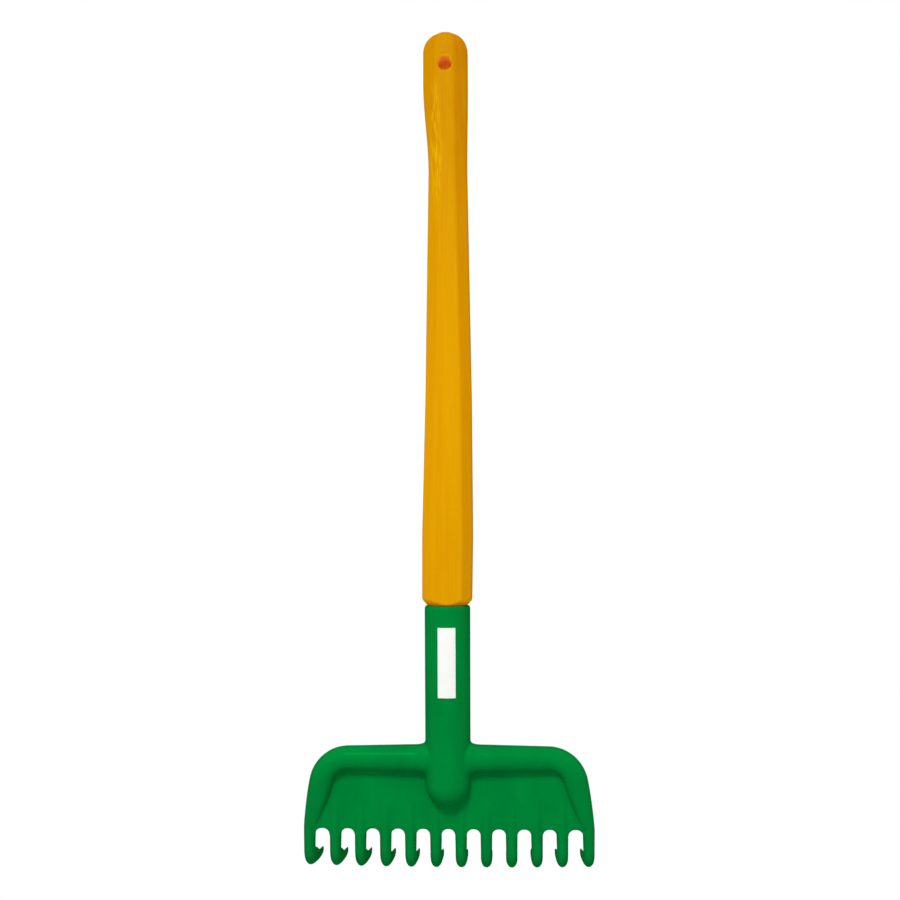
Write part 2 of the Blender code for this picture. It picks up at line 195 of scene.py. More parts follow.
class HeadSettings(bpy.types.PropertyGroup):
    """Sizes and colour of the moulded head."""

    colour: tint("Plastic", "Colour of the moulded plastic", "008036")
    tine_count: bpy.props.IntProperty(name="Tines", description="Number of tines", default=12)
    tine_pitch: length("Tine pitch", "Spacing of the tines", 0.0138)
    tine_width: length("Tine width", "Width of a tine seen from the front", 0.0066)
    tine_tip: length("Tine tip", "Width of a tine where it bends and along its hook", 0.0062)
    tine_front: length("Tine front", "Depth of a tine in front of its widest line", 0.0043)
    tine_back: length("Tine back", "Depth of a tine behind its widest line", 0.0016)
    tine_length: length("Tine length", "Height of the arches over the gaps", 0.0224)
    outer_shift: length("Outer shift", "How much farther out the outermost tines stand", 0.0005)
    tine_bow: length("Tine bow", "How far the middle tines hang below the outer ones", 0.0008)
    hook_reach: length("Hook reach", "How far the hooks reach back", 0.0375)
    hook_radius: length("Hook radius", "Radius of the bend on the widest line of a tine", 0.0063)
    hook_drop: angle("Hook drop", "Slope of the hooks below level where their bends end", 11.6)
    hook_curl: angle("Hook curl", "How far the hooks curl up along their length", 12.6)
    hook_nose: length("Hook nose", "Length of the tapered nose", 0.013)
    hook_wall: length("Hook wall", "Height of a hook's edges above its widest line", 0.0031)
    hook_hollow: length("Hook hollow", "Depth of the trough between those edges", 0.0036)
    rib_length: length("Rib length", "How far a rib runs up the web above its tine", 0.0195)
    rib_width: length("Rib width", "Width of a rib where it fades out", 0.0036)
    rib_depth: length("Rib depth", "Thickness of a rib where it fades out", 0.0029)
    bar_height: length("Bar height", "Height of the middle of the cross bar", 0.0606)
    bar_diameter: length("Bar diameter", "Thickness of the cross bar", 0.0148)
    bar_flare: length("Bar flare", "Growth of the bar's radius at the socket", 0.0011)
    flare_length: length("Flare length", "Length of the flare", 0.0055)
    corner_diameter: length("Corner diameter", "Thickness of the bar at its corners", 0.0132)
    corner_radius: length("Corner radius", "Bend of the bar's middle line at a corner", 0.0150)
    arm_lean: angle("Arm lean", "Lean of the side arms", 14.5)
    web_thickness: length("Web thickness", "Thickness of the web", 0.003)
    web_setback: length("Web setback", "How far the web and tines lie behind the bar's middle", 0.002)
    arch_rise: length("Arch rise", "Height of the arch cut over each gap", 0.0040)
    arch_tuck: length("Arch tuck", "How far each arch runs on into the tines beside it", 0.0002)
    rim_height: length("Rim height", "Height of the socket's rim", 0.1432)
    rim_lift: length("Rim lift", "How far the finished rim rises towards the handle's shoulder", 0.0006)
    rim_round: length("Rim round", "Radius of the rim's outer edge", 0.0014)
    foot_height: length("Foot height", "Height of the socket's domed foot", 0.0354)
    bore_radius: length("Bore radius", "Radius of the socket's bore", 0.0106)
    bore_depth: length("Bore depth", "Depth of the socket's bore", 0.0653)
    wall: length("Wall", "Wall of the socket at its rim", 0.002)
    draft: length("Draft", "How much the socket narrows towards its foot", 0.0003)
    voxel: length("Voxel", "Fineness of the fused skin", 0.00075)
    swell: length("Swell", "Growth that makes up for what the rounding takes off", 0.00003)
    blends: bpy.props.IntProperty(
        name="Blends", description="Passes that round the inside corners", default=2
    )


class HandleSettings(bpy.types.PropertyGroup):
    """Sizes and colours of the wooden handle; heights are counted from the socket's rim."""

    colour: tint("Stain", "Colour of the stained wood", "DC9D00")
    light: tint("Light grain", "Colour of the pale streaks in the grain", "E4AB06")
    dark: tint("Dark grain", "Colour of the dark streaks in the grain", "D69300")
    # Painted shade: the bevels are coloured darker than the front, fully on the right and less on the left
    bevel: tint("Bevel shade", "Colour of the bevels, darker as painted shade, most on the right", "DE9200")
    # Painted shade: the grip's front and its bevels are coloured deeper towards the top
    grip_shade: tint("Grip shade", "Colour of the grip's front, darker as painted shade", "D78F00")
    grip_bevel_shade: tint("Grip bevel shade", "Colour of those bevels at the grip", "D87E00")
    # Painted highlight: a paler sheen in streaks along the left ridge below the grip
    ridge_sheen: tint("Ridge sheen", "Colour of the painted sheen in streaks along the left ridge", "ECB40C")
    # Painted light: the shoulder faces down and is coloured paler so that it looks lit
    turned: tint("Lit shoulder", "Colour of the shoulder's downward faces, painted paler as painted light", "FFB400")
    # A darker, redder band with fine pores at the foot of the shoulder
    band_colour: tint("Band colour", "Colour of the darker, redder band at the foot of the shoulder", "FB980C")
    bore_colour: tint("Bore", "Colour of the stain that pooled in the hang hole", "FFBC58")
    tenon_diameter: length("Tenon diameter", "Diameter of the tenon", 0.0206)
    tenon_chamfer: length("Tenon chamfer", "Chamfer on the tenon's end", 0.0012)
    shoulder_diameter: length("Shoulder diameter", "Diameter where the shoulder meets the tenon", 0.0224)
    shoulder_gap: length("Shoulder gap", "Gap between the rim and the shoulder", 0.0008)
    shoulder_slope: angle("Shoulder slope", "Slope of the turned shoulder", 47)
    band_height: length("Band height", "How far up the shoulder the darker band reaches", 0.0021)
    foot_width: length("Foot width", "Width across the flats at the shoulder", 0.0272)
    foot_bevel: length("Foot bevel", "Corner bevel at the shoulder", 0.0056)
    shaft_width: length("Shaft width", "Greatest width across the flats", 0.0278)
    shaft_rise: length("Shaft rise", "Height of the greatest width", 0.040)
    middle_rise: length("Middle rise", "Height where the bow is at its greatest", 0.115)
    neck_width: length("Neck width", "Width at the neck below the grip", 0.022)
    neck_bevel: length("Neck bevel", "Corner bevel at the neck", 0.0069)
    neck_rise: length("Neck rise", "Height of the neck", 0.245)
    neck_shift: length("Neck shift", "Sideways bow of the wood", 0.0012)
    grip_width: length("Grip width", "Width across the grip", 0.0255)
    grip_bevel: length("Grip bevel", "Corner bevel at the grip", 0.0078)
    grip_rise: length("Grip rise", "Height where the grip is full", 0.2965)
    depth_ratio: bpy.props.FloatProperty(
        name="Depth ratio", description="Depth of a section as a share of its width", default=0.86
    )
    hole_diameter: length("Hole diameter", "Diameter of the hang hole", 0.008)
    hole_ease: length("Hole ease", "Chamfer at the mouths of the hang hole", 0.0006)


class ScrewSettings(bpy.types.PropertyGroup):
    """Sizes and colour of the screw at the back of the socket."""

    colour: tint("Zinc", "Colour of the plating", "C4C6C8")
    shank: length("Shank", "Diameter of the shank", 0.0035)
    point: length("Point", "Length of the point", 0.003)
    head: length("Head", "Diameter of the pan head", 0.0068)
    head_height: length("Head height", "Height of the pan head", 0.0024)
    cross_length: length("Cross length", "Length of the cross recess", 0.004)
    cross_width: length("Cross width", "Width of the cross recess", 0.001)
    cross_depth: length("Cross depth", "Depth of the cross recess", 0.0012)


class LabelSettings(bpy.types.PropertyGroup):
    """Sizes and colour of the blank label."""

    colour: tint("Vinyl", "Colour of the label", "F6F6F4")
    thickness: length("Thickness", "Thickness of the vinyl", 0.0002)
    lift: length("Lift", "Glue line between the label and the socket", 0.0001)


class StageSettings(bpy.types.PropertyGroup):
    """Camera, light and floor."""

    camera: location("Camera", "Where the camera stands", (0.0299, -0.6128, -0.2670))
    aim: location("Aim", "Point in the middle of the picture", (0.00174, 0, -0.21888))
    roll: angle("Roll", "Turn of the camera about its own axis", 0.216)
    lens: bpy.props.FloatProperty(name="Lens", description="Focal length in millimetres", default=44.0)
    ambient: bpy.props.FloatProperty(
        name="Ambient", description="Strength of the light all round", default=0.66
    )
    key_power: bpy.props.FloatProperty(
        name="Key", description="Power of the lamp above the camera", default=0.74, subtype="POWER"
    )
    key_place: location("Key place", "Where that lamp stands", (-0.16, -0.74, 0.38))
    key_size: length("Key size", "Width of that lamp", 0.25)
    key_spread: angle("Key spread", "Width of the key lamp's beam", 60)
    floor_colour: tint("Floor", "Colour of the floor", "E4E4E0")
    floor_size: length("Floor size", "Half the width of the floor", 6)
    floor_drop: length("Floor drop", "Distance from the tines down to the floor", 0.35)


def placed(centre, side, normal):
    """A matrix that puts a flat section at a centre, with its X along side and its Y along normal."""
    turned = Matrix((side, normal, side.cross(normal))).transposed()
    return Matrix.Translation(centre) @ turned.to_4x4()


def squared(value, squareness):
    """A point of a round section, as a share of its radius, moved to where a squarer section has it."""
    return math.copysign(abs(value) ** (2 / squareness), value)


def edges_of(ring):
    """The edges between the points of a ring."""
    return list({edge for vert in ring for edge in vert.link_edges})


def section(bm, place, width, depth, squareness):
    """Edges of a ring with the same squareness all round."""
    ring = bmesh.ops.create_circle(bm, segments=TINE_POINTS, radius=1)["verts"]
    for vert in ring:
        vert.co.x = squared(vert.co.x, squareness) * width / 2
        vert.co.y = squared(vert.co.y, squareness) * depth / 2
    bmesh.ops.transform(bm, matrix=place, verts=ring)
    return edges_of(ring)


def skin(bm, rings):
    """A closed skin over rings of edges."""
    for low, high in zip(rings, rings[1:]):
        bmesh.ops.bridge_loops(bm, edges=low + high)
    for end in (rings[0], rings[-1]):
        bmesh.ops.contextual_create(bm, geom=end)


def turn(bm, profile, steps, axis=UP, centre=Vector()):
    """A body turned about an axis from (radius, height) points that start and end on it."""
    verts = [bm.verts.new(centre + ACROSS * radius + axis * height) for radius, height in profile]
    edges = [bm.edges.new(pair) for pair in zip(verts, verts[1:])]
    bmesh.ops.spin(
        bm, geom=verts + edges, cent=centre, axis=axis, angle=math.tau, steps=steps, use_merge=True
    )
    bmesh.ops.remove_doubles(bm, verts=bm.verts, dist=MERGE_DISTANCE)


def piece_from(bm, name, *materials):
    """The bmesh as an object with its faces pointing out."""
    bmesh.ops.recalc_face_normals(bm, faces=bm.faces)
    mesh = bpy.data.meshes.new(name)
    bm.to_mesh(mesh)
    bm.free()
    for material in materials:
        mesh.materials.append(material)
    mesh.shade_smooth()
    piece = bpy.data.objects.new(name, mesh)
    bpy.context.collection.objects.link(piece)
    return piece


def apply_modifiers(piece):
    """Put what the piece's modifiers make into its own mesh."""
    graph = bpy.context.evaluated_depsgraph_get()
    rough = piece.data
    piece.data = bpy.data.meshes.new_from_object(piece.evaluated_get(graph))
    piece.modifiers.clear()
    bpy.data.meshes.remove(rough)


def cut(piece, cutter):
    """Take the cutter out of the piece and delete the cutter."""
    modifier = piece.modifiers.new("cut", "BOOLEAN")
    modifier.operation = "DIFFERENCE"
    modifier.object = cutter
    apply_modifiers(piece)
    bpy.data.objects.remove(cutter)


def stand_for(piece, node):
    """The piece rides on the rake and is shown in place of a node."""
    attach(piece, "root")
    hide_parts(node)


def blend(start, end, share):
    """Smooth change from start to end as share goes from 0 to 1."""
    t = min(max(share, 0), 1)
    return start + (end - start) * t * t * (3 - 2 * t)


def fill(tree, node, inputs):
    """Give each input of a node, by name or number, a value or another node's output."""
    for name, value in inputs.items():
        if isinstance(value, bpy.types.NodeSocket):
            tree.links.new(value, node.inputs[name])
        else:
            node.inputs[name].default_value = value


def add(tree, kind, inputs, **settings):
    """Add a node with its settings and inputs."""
    made = tree.nodes.new(kind)
    for name, value in settings.items():
        setattr(made, name, value)
    fill(tree, made, inputs)
    return made


def new_material(name):
    """An empty Principled material, its node tree and its shader."""
    made = bpy.data.materials.new(name)
    made.use_nodes = True
    return made, made.node_tree, made.node_tree.nodes["Principled BSDF"]


def coordinates(tree, kind):
    """Places ("Object") or facings ("Normal") on a piece, or directions in the world ("Generated")."""
    return tree.nodes.new("ShaderNodeTexCoord").outputs[kind]


def axis_of(tree, kind, axis):
    """One axis of such coordinates."""
    return add(tree, "ShaderNodeSeparateXYZ", {0: coordinates(tree, kind)}).outputs[axis]


def noise(tree, size, detail=3.0, roughness=0.55):
    """Noise whose grains measure size, in metres along X, Y and Z."""
    scale = [1 / s for s in size]
    mapping = add(tree, "ShaderNodeMapping", {"Vector": coordinates(tree, "Object"), "Scale": scale})
    inputs = {"Vector": mapping.outputs[0], "Scale": 1.0, "Detail": detail, "Roughness": roughness}
    return add(tree, "ShaderNodeTexNoise", inputs).outputs["Fac"]


def spread(tree, value, low=0.3, high=0.7, to_low=0.0, to_high=1.0):
    """Stretch a pattern's values, by default the bulk of a noise, to a new range."""
    inputs = {"Value": value, "From Min": low, "From Max": high, "To Min": to_low, "To Max": to_high}
    return add(tree, "ShaderNodeMapRange", inputs).outputs[0]


def mix(tree, factor, first, second):
    """Mix two colours."""
    inputs = {"Factor": factor, 6: first, 7: second}
    return add(tree, "ShaderNodeMix", inputs, data_type="RGBA").outputs[2]


def calculate(tree, operation, *values):
    """The result of a Math node."""
    return add(tree, "ShaderNodeMath", dict(enumerate(values)), operation=operation).outputs[0]


def distance(tree, middle, scale):
    """How far a point of the piece lies from a middle, with X, Y and Z scaled first."""
    inputs = {0: coordinates(tree, "Object"), 1: middle}
    centred = add(tree, "ShaderNodeVectorMath", inputs, operation="SUBTRACT").outputs[0]
    scaled = add(tree, "ShaderNodeVectorMath", {0: centred, 1: scale}, operation="MULTIPLY").outputs[0]
    return add(tree, "ShaderNodeVectorMath", {0: scaled}, operation="LENGTH").outputs["Value"]


def relief(tree, pattern, strength, depth):
    """A normal that follows the ups and downs of a pattern."""
    inputs = {"Height": pattern, "Strength": strength, "Distance": depth}
    return add(tree, "ShaderNodeBump", inputs).outputs[0]


def toned(colour, factor):
    """A colour made deeper or paler by a factor."""
    return [min(c * factor, 1) for c in colour[:3]] + [1]


def soft_gloss(tree, level):
    """A weak gloss that dies away where the surface turns edge-on, so rims keep their own colour."""
    facing = add(tree, "ShaderNodeLayerWeight", {"Blend": 0.5}).outputs["Facing"]
    return spread(tree, facing, GLOSS_FULL, GLOSS_GONE, to_low=level, to_high=0.0)


def moulded_polypropylene(colour):
    """Coloured polypropylene from a polished mould: satin, with a faint cloud in the pigment."""
    made, tree, shader = new_material("moulded_polypropylene")
    cloud = noise(tree, (0.018, 0.018, 0.030), detail=2)
    flow = noise(tree, (0.004, 0.004, 0.016))
    peel = noise(tree, (0.0009, 0.0009, 0.0009), detail=2)
    clouded = mix(tree, spread(tree, cloud), toned(colour, 0.91), toned(colour, 1.12))
    inputs = {
        "Base Color": mix(tree, spread(tree, flow, 0.35, 0.65, to_high=0.5), clouded, colour),
        "Roughness": spread(tree, flow, to_low=0.26, to_high=0.32),
        "Normal": relief(tree, peel, strength=0.012, depth=0.0002),
        "IOR": 1.49,
        "Specular Tint": toned(colour, 1 / max(colour[:3])),
        "Specular IOR Level": soft_gloss(tree, PLASTIC_GLOSS),
    }
    fill(tree, shader, inputs)
    return made


def ridge_sheen_share(tree):
    """1 on the streaks of painted sheen along the left ridge below the grip, and 0 away from them."""
    away = distance(tree, SHEEN_MIDDLE, [1 / size for size in SHEEN_SIZE])
    sheen_streaks = spread(tree, noise(tree, (0.0007, 0.0007, 0.011)), 0.46, 0.60)
    return calculate(tree, "MULTIPLY", spread(tree, away, 0.4, 1.0, to_low=1.0, to_high=0.0), sheen_streaks)


def lit_shoulder(tree, handle, height):
    """Colour of the turned shoulder: painted paler as painted light, with a darker, redder band at its foot.
    """
    shoulder = HEAD_HIGH.z + handle.shoulder_gap
    banded = spread(tree, height, shoulder + handle.band_height, shoulder + BAND_FADE * handle.band_height)
    pores = noise(tree, (0.0006, 0.0006, 0.0006), detail=2)
    darker = toned(handle.band_colour, 0.85)
    foot_band = mix(tree, spread(tree, pores, 0.35, 0.65), darker, handle.band_colour)
    return mix(tree, banded, handle.turned, foot_band)


def stained_beech(handle):
    """Beech under a yellow stain and satin lacquer: streaks along the grain, with painted shade that deepens
    the colour towards the grip.

    Its bevels are painted darker as painted shade, most on the right; the left ridge below the grip carries a
    streaked painted highlight, and the shoulder, which faces down, is painted paler as painted light.
    """
    made, tree, shader = new_material("stained_beech")
    bands = noise(tree, (0.005, 0.005, 0.110), roughness=0.5)
    fibres = noise(tree, (0.0009, 0.0009, 0.038), detail=4)
    flecks = noise(tree, (0.0006, 0.0006, 0.0042), detail=1)
    mottle = noise(tree, (0.007, 0.007, 0.018))
    height = axis_of(tree, "Object", "Z")
    rightward = axis_of(tree, "Normal", "X")
    # Painted shade on the bevels: full on those facing right, 0.4 on those facing left
    right = spread(tree, rightward, 0.2, 0.65)
    left = spread(tree, rightward, -0.2, -0.65, to_high=0.4)
    bevelled = calculate(tree, "MAXIMUM", right, left)
    shaft = mix(tree, bevelled, handle.colour, handle.bevel)
    grip = mix(tree, bevelled, handle.grip_shade, handle.grip_bevel_shade)
    # Painted shade: the colour deepens towards the grip, with a mottle
    rising = spread(tree, height, GRIP_SHADE_START, GRIP_SHADE_FULL)
    grip_shading = calculate(tree, "MULTIPLY", rising, spread(tree, mottle, 0.35, 0.65, to_low=0.4))
    stain = mix(tree, grip_shading, shaft, grip)
    streaks = mix(tree, spread(tree, bands, 0.34, 0.66, to_low=0.75, to_high=0.0), stain, handle.dark)
    grain = mix(tree, spread(tree, fibres, 0.45, 0.78, to_high=0.4), streaks, handle.light)
    speckled = mix(tree, spread(tree, flecks, 0.62, 0.74, to_high=0.35), grain, handle.dark)
    # Painted highlight: paler streaks of sheen on the left ridge below the grip
    sheened = mix(tree, ridge_sheen_share(tree), speckled, handle.ridge_sheen)
    # Faces that turn downward, on the shoulder, take its paler colour: painted light
    downward = spread(tree, axis_of(tree, "Normal", "Z"), -0.15, -0.45)
    inputs = {
        "Base Color": mix(tree, downward, sheened, lit_shoulder(tree, handle, height)),
        "Roughness": spread(tree, fibres, to_low=0.34, to_high=0.46),
        "Normal": relief(tree, fibres, strength=0.06, depth=0.0003),
        "Specular IOR Level": soft_gloss(tree, LACQUER_GLOSS),
    }
    fill(tree, shader, inputs)
    return made


def pooled_stain(colour):
    """Wood in the hang hole, wet through with stain: light seeps out of it and turns orange."""
    made, tree, shader = new_material("pooled_stain")
    pool = noise(tree, (0.002, 0.004, 0.002), detail=2)
    redder = [colour[0], colour[1] * 0.8, colour[2] * 0.8, 1]
    inputs = {
        "Base Color": mix(tree, spread(tree, pool), redder, colour),
        "Roughness": 0.5,
        "Subsurface Weight": 1.0,
        "Subsurface Radius": (1.0, 0.4, 0.15),
        "Subsurface Scale": 0.016,
        "Specular IOR Level": soft_gloss(tree, LACQUER_GLOSS),
    }
    fill(tree, shader, inputs)
    return made


def zinc_plate(colour):
    """Bright zinc on a steel screw, duller and less even in patches."""
    made, tree, shader = new_material("zinc_plated_steel")
    patches = noise(tree, (0.0012, 0.0012, 0.0012))
    inputs = {
        "Base Color": mix(tree, spread(tree, patches), toned(colour, 0.8), colour),
        "Roughness": spread(tree, patches, to_low=0.22, to_high=0.4),
        "Metallic": 1,
    }
    fill(tree, shader, inputs)
    return made


def label_vinyl(colour):
    """White self-adhesive vinyl: smooth, with a faint ripple from being rubbed on by hand, and faint painted
    shade in its hollows.
    """
    made, tree, shader = new_material("white_vinyl")
    ripple = noise(tree, (0.003, 0.003, 0.006), detail=2)
    inputs = {
        # Painted shade: the colour darkens a little in the ripple's hollows
        "Base Color": mix(tree, spread(tree, ripple), toned(colour, 0.97), colour),
        "Roughness": spread(tree, ripple, to_low=0.38, to_high=0.48),
        "Normal": relief(tree, ripple, strength=0.05, depth=0.0002),
    }
    fill(tree, shader, inputs)
    return made


def socket_radius(head, height):
    """Outer radius of the socket, which narrows slightly towards its foot."""
    rim = head.bore_radius + head.wall
    foot = head.foot_height + rim - head.draft
    return rim - head.draft * (head.rim_height - height) / (head.rim_height - foot)


def socket_profile(head):
    """(radius, height) points from the foot's pole, up the outside, over the rim and down the bore."""
    rim = head.bore_radius + head.wall
    top = head.rim_height + head.rim_lift
    foot = rim - head.draft
    points = []
    for i in range(DOME_STEPS + 1):
        turned = math.pi / 2 * i / DOME_STEPS
        points.append((foot * math.sin(turned), head.foot_height + foot * (1 - math.cos(turned))))
    for i in range(RIM_STEPS + 1):
        turned = math.pi / 2 * i / RIM_STEPS
        radius = rim - head.rim_round * (1 - math.cos(turned))
        points.append((radius, top - head.rim_round * (1 - math.sin(turned))))
    floor = head.rim_height - head.bore_depth
    return points + [(head.bore_radius, top), (head.bore_radius, floor), (0, floor)]


def tine_places(head):
    """Where the tines stand across the head, left to right: evenly, but the outermost a little apart."""
    places = [head.tine_pitch * (i - (head.tine_count - 1) / 2) for i in range(head.tine_count)]
    places[0] -= head.outer_shift
    places[-1] += head.outer_shift
    return places


def tine_section(bm, head, x, y, z, turned, width, front, back, front_squareness=TINE_FRONT_SQUARENESS):
    """A section of a tine that has turned by an angle from pointing down towards pointing back.

    In front of its widest line it is rounded, by the front depth. Behind that line it is flat on the straight
    tine, by the back depth, and on the hook it has two edges with a trough between them.
    """
    normal = BACK * math.cos(turned) + UP * math.sin(turned)
    hooked = blend(0, 1, TROUGH_ONSET * math.sin(turned))
    back_squareness = blend(TINE_BACK_SQUARENESS, HOOK_TOP_SQUARENESS, hooked)
    wall = back * blend(1, head.hook_wall / head.tine_back, hooked)
    hollow = hooked * min(head.hook_hollow, TROUGH_SHARE * (front + wall))
    ring = bmesh.ops.create_circle(bm, segments=TINE_POINTS, radius=1)["verts"]
    for vert in ring:
        if vert.co.y > 0:
            across = squared(vert.co.x, back_squareness)
            high = squared(vert.co.y, back_squareness) * wall - hollow * (1 - abs(across))
        else:
            across = squared(vert.co.x, front_squareness)
            high = squared(vert.co.y, front_squareness) * front
        vert.co.x = across * width / 2
        vert.co.y = high
    place = placed(Vector((x, head.web_setback + y, z)), ACROSS, normal)
    bmesh.ops.transform(bm, matrix=place, verts=ring)
    return edges_of(ring)


def rib_sections(bm, head, x):
    """Sections of the rib that fades out up the web above a tine."""
    rings = []
    for i in range(RIB_STEPS):
        share = i / RIB_STEPS
        height = head.tine_length + head.rib_length * (1 - share)
        width = blend(head.rib_width, head.tine_width, share)
        front = blend(head.rib_depth / 2, head.tine_front, share)
        back = blend(head.rib_depth / 2, head.tine_back, share)
        squareness = blend(RIB_SQUARENESS, TINE_FRONT_SQUARENESS, share)
        rings.append(tine_section(bm, head, x, (front - back) / 2, height, 0, width, front, back, squareness))
    return rings


def tine_sections(bm, head, x, span):
    """Sections down one tine: the straight part, the bend, and the hook that curls up along its length.

    The hook's nose tapers to a point a little below its widest line.
    """
    seat = (head.tine_front - head.tine_back) / 2
    whole = (head.tine_tip, head.tine_front, head.tine_back)
    top = (head.tine_width, head.tine_front, head.tine_back)
    rings = [tine_section(bm, head, x, seat, head.tine_length, 0, *top)]
    lift = head.tine_bow * (2 * x / span) ** 2
    bend_z = lift + head.tine_front + head.hook_radius
    bend = math.pi / 2 - head.hook_drop
    for i in range(BEND_STEPS + 1):
        turned = bend * i / BEND_STEPS
        y = seat + head.hook_radius * (1 - math.cos(turned))
        z = bend_z - head.hook_radius * math.sin(turned)
        rings.append(tine_section(bm, head, x, y, z, turned, *whole))
    run = (seat + head.hook_reach - y) / math.cos(head.hook_drop - head.hook_curl / 2)
    straight = run - head.hook_nose
    stations = [(straight * i / HOOK_STEPS, 0) for i in range(1, HOOK_STEPS)]
    for i in range(NOSE_STEPS):
        nose = math.pi / 2 * i / NOSE_STEPS
        stations.append((straight + head.hook_nose * math.sin(nose), nose))
    for along, nose in stations:
        width = head.tine_tip * math.cos(nose) ** NOSE_BLUNTNESS
        front = head.tine_front * math.cos(nose)
        back = head.tine_back * math.cos(nose)
        fall = NOSE_FALL * (head.tine_front - front)
        curled = head.hook_curl * along / run
        chord = head.hook_drop - curled / 2
        end_y = y + along * math.cos(chord)
        end_z = z - along * math.sin(chord) - fall
        rings.append(tine_section(bm, head, x, end_y, end_z, bend + curled, width, front, back))
    return rings


def arm_line(head, span):
    """Points (across, height, angle turned) on the middle line of the corner and of the arm below it."""
    total = math.pi / 2 - head.arm_lean
    corner_x = span / 2 - (head.bar_height - head.tine_length) * math.tan(head.arm_lean)
    centre_x = corner_x - head.corner_radius * math.tan(total / 2)
    centre_z = head.bar_height - head.corner_radius
    corner = []
    for i in range(BEND_STEPS + 1):
        turned = total * i / BEND_STEPS
        x = centre_x + head.corner_radius * math.sin(turned)
        corner.append((x, centre_z + head.corner_radius * math.cos(turned), turned))
    x, z, turned = corner[-1]
    arm = []
    for i in range(1, ARM_STEPS):
        share = i / ARM_STEPS
        arm.append((x + (span / 2 - x) * share, z + (head.tine_length - z) * share, turned))
    return corner, arm


def arm_sections(bm, head, span, side):
    """Sections from the middle of the bar, round a corner and down the arm; side is 1 right, -1 left."""
    rings = []

    def ring(x, z, turned, width, depth, setback=0, squareness=ROUND):
        out = ACROSS * math.sin(turned) * side + UP * math.cos(turned)
        place = placed(Vector((x * side, setback, z)), out, BACK)
        rings.append(section(bm, place, width, depth, squareness))

    corner, arm = arm_line(head, span)
    start = socket_radius(head, head.bar_height)
    thickness = head.tine_front + head.tine_back
    ring(0, head.bar_height, 0, head.bar_diameter, head.bar_diameter)
    for i in range(FLARE_STEPS + 1):
        share = i / FLARE_STEPS
        flared = head.bar_diameter + 2 * head.bar_flare * (1 - share) ** 2
        ring(start + head.flare_length * share, head.bar_height, 0, flared, flared)
    for x, z, turned in corner:
        ring(x, z, turned, head.corner_diameter, head.corner_diameter)
    for i, (x, z, turned) in enumerate(arm, 1):
        share = i / ARM_STEPS
        taper = share**ARM_TAPER
        eased = 1 - (1 - taper) ** ARM_EASE
        width = head.corner_diameter + (head.tine_width - head.corner_diameter) * taper
        depth = head.corner_diameter + (thickness - head.corner_diameter) * eased
        squareness = blend(ROUND, ARM_SQUARENESS, ARM_SQUARING * share)
        ring(x, z, turned, width, depth, head.web_setback * share, squareness)
    return rings


def web_plate(head, span):
    """The web: a flat plate that ends inside the bar and arms, with an arch cut over every gap."""
    bm = bmesh.new()
    corner, arm = arm_line(head, span)
    front = head.web_setback - head.web_thickness / 2
    foot = head.tine_length - head.arch_rise
    side = [(x, z) for x, z, turned in corner + arm] + [(span / 2, head.tine_length), (span / 2, foot)]
    outline = side + [(-x, z) for x, z in reversed(side)]
    face = bm.faces.new([bm.verts.new((x, front, z)) for x, z in outline])
    made = bmesh.ops.extrude_face_region(bm, geom=[face])
    moved = [v for v in made["geom"] if isinstance(v, bmesh.types.BMVert)]
    bmesh.ops.translate(bm, verts=moved, vec=BACK * head.web_thickness)
    plate = piece_from(bm, "web_plate")
    bm = bmesh.new()
    places = tine_places(head)
    for left, right in zip(places, places[1:]):
        x = (left + right) / 2
        width = right - left - head.tine_width + 2 * head.arch_tuck
        ends = [Vector((x, front + y, foot)) for y in (-head.web_thickness, 2 * head.web_thickness)]
        spots = [placed(end, ACROSS, UP) for end in ends]
        skin(bm, [section(bm, spot, width, 2 * head.arch_rise, ARCH_SQUARENESS) for spot in spots])
    cut(plate, piece_from(bm, "arch_cutter"))
    return plate


class RAKE_OT_head(bpy.types.Operator):
    """Mould the head: socket, bar, arms, web and tines fused into one skin with rounded inside corners"""

    bl_idname = "rake.head"
    bl_label = "Moulded head"

    def execute(self, context):
        head = context.scene.rake_head
        places = tine_places(head)
        span = places[-1] - places[0]
        bm = bmesh.new()
        turn(bm, socket_profile(head), SOCKET_STEPS)
        for side in (1, -1):
            skin(bm, arm_sections(bm, head, span, side) + tine_sections(bm, head, side * span / 2, span))
        for x in places[1:-1]:
            skin(bm, rib_sections(bm, head, x) + tine_sections(bm, head, x, span))
        web = web_plate(head, span)
        bm.from_mesh(web.data)
        bpy.data.objects.remove(web)
        bmesh.ops.translate(bm, verts=bm.verts, vec=UP * (HEAD_HIGH.z - head.rim_height))
        moulding = piece_from(bm, "moulded_head", moulded_polypropylene(head.colour))
        fused = moulding.modifiers.new("fuse", "REMESH")
        fused.mode = "VOXEL"
        fused.voxel_size = head.voxel
        fused.use_smooth_shade = True
        rounded = moulding.modifiers.new("round the inside corners", "SMOOTH")
        rounded.factor = BLEND_FACTOR
        rounded.iterations = head.blends
        swelled = moulding.modifiers.new("make up for the rounding", "DISPLACE")
        swelled.strength = head.swell
        swelled.mid_level = 0
        apply_modifiers(moulding)
        stand_for(moulding, "rake_head")
        return {"FINISHED"}


def handle_section(handle, rise):
    """Half width across the flats, distance to the corner bevels, and sideways shift at a height."""
    bow = handle.neck_shift * min(max(rise, 0) / handle.middle_rise, 1)
    if rise < handle.shaft_rise:
        share = max(rise, 0) / handle.shaft_rise
        width = handle.foot_width + (handle.shaft_width - handle.foot_width) * share
        bevel = handle.foot_bevel
    elif rise < handle.neck_rise:
        share = (rise - handle.shaft_rise) / (handle.neck_rise - handle.shaft_rise)
        width = handle.shaft_width + (handle.neck_width - handle.shaft_width) * share
        bevel = handle.foot_bevel + (handle.neck_bevel - handle.foot_bevel) * share
    else:
        share = (rise - handle.neck_rise) / (handle.grip_rise - handle.neck_rise)
        width = blend(handle.neck_width, handle.grip_width, share)
        bevel = blend(handle.neck_bevel, handle.grip_bevel, share)
        bow = blend(handle.neck_shift, 0, share)
    return width / 2, (width - bevel) / math.sqrt(2), bow


